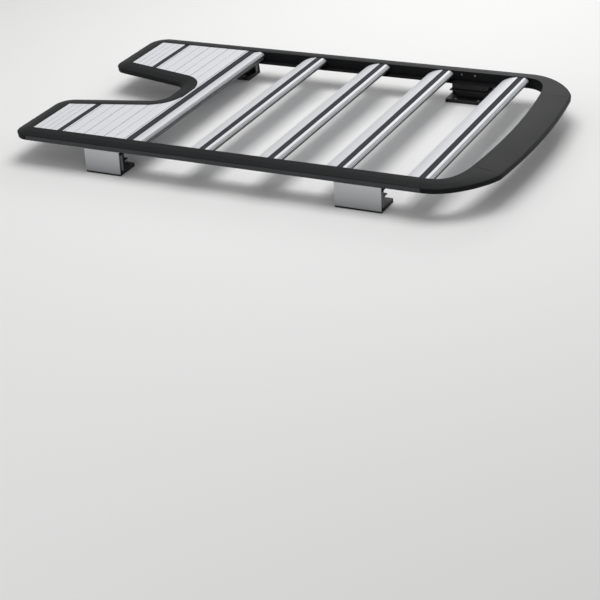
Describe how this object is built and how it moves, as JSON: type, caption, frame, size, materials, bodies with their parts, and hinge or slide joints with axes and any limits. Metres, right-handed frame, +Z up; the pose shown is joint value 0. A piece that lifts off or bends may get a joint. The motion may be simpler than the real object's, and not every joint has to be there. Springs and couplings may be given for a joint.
{
  "type": "flat platform roof rack",
  "caption": "Flat platform roof rack: dark sloping frame, silver crossbars with rubber strips, a ribbed rear deck with a notch, and feet with satin covers.",
  "frame": {"origin": "middle of the rack's footprint on the floor, under its feet", "axes": "+Z up; the rack's front faces -Y and the notched deck is at +Y; +X is the rack's left side"},
  "size_m": [1.268, 2.25, 0.142],
  "materials": {
    "frame": "fine textured powder coat",
    "bars": "clear anodised",
    "strips": "matt",
    "inner_frame": "black powder coat",
    "towers": "black powder coat",
    "covers": "satin silver paint",
    "pads": "matt"
  },
  "bodies": {
    "root": {"rail_right": "frame", "rail_left": "frame", "front_corner_right": "frame", "front_corner_left": "frame", "front_panel": "frame", "rear_end_right": "frame", "rear_end_left": "frame", "notch_arm_right": "frame", "notch_arm_left": "frame", "notch_bend": "frame", "crossbar_1": "bars", "crossbar_2": "bars", "crossbar_3": "bars", "crossbar_4": "bars", "deck_edge_bar": "bars", "rear_bar": "bars", "plank_1": "bars", "plank_2": "bars", "plank_3": "bars", "strip_1": "strips", "strip_2": "strips", "strip_3": "strips", "strip_4": "strips", "deck_edge_strip": "strips", "rear_strip": "strips", "deck_beams": "inner_frame", "brackets_right": "inner_frame", "brackets_left": "inner_frame", "tower_front_right": "towers", "tower_front_left": "towers", "tower_rear_right": "towers", "tower_rear_left": "towers", "cover_front_right": "covers", "cover_front_left": "covers", "cover_rear_right": "covers", "cover_rear_left": "covers", "pad_front_right": "pads", "pad_front_left": "pads", "pad_rear_right": "pads", "pad_rear_left": "pads"}
  },
  "joints": []
}
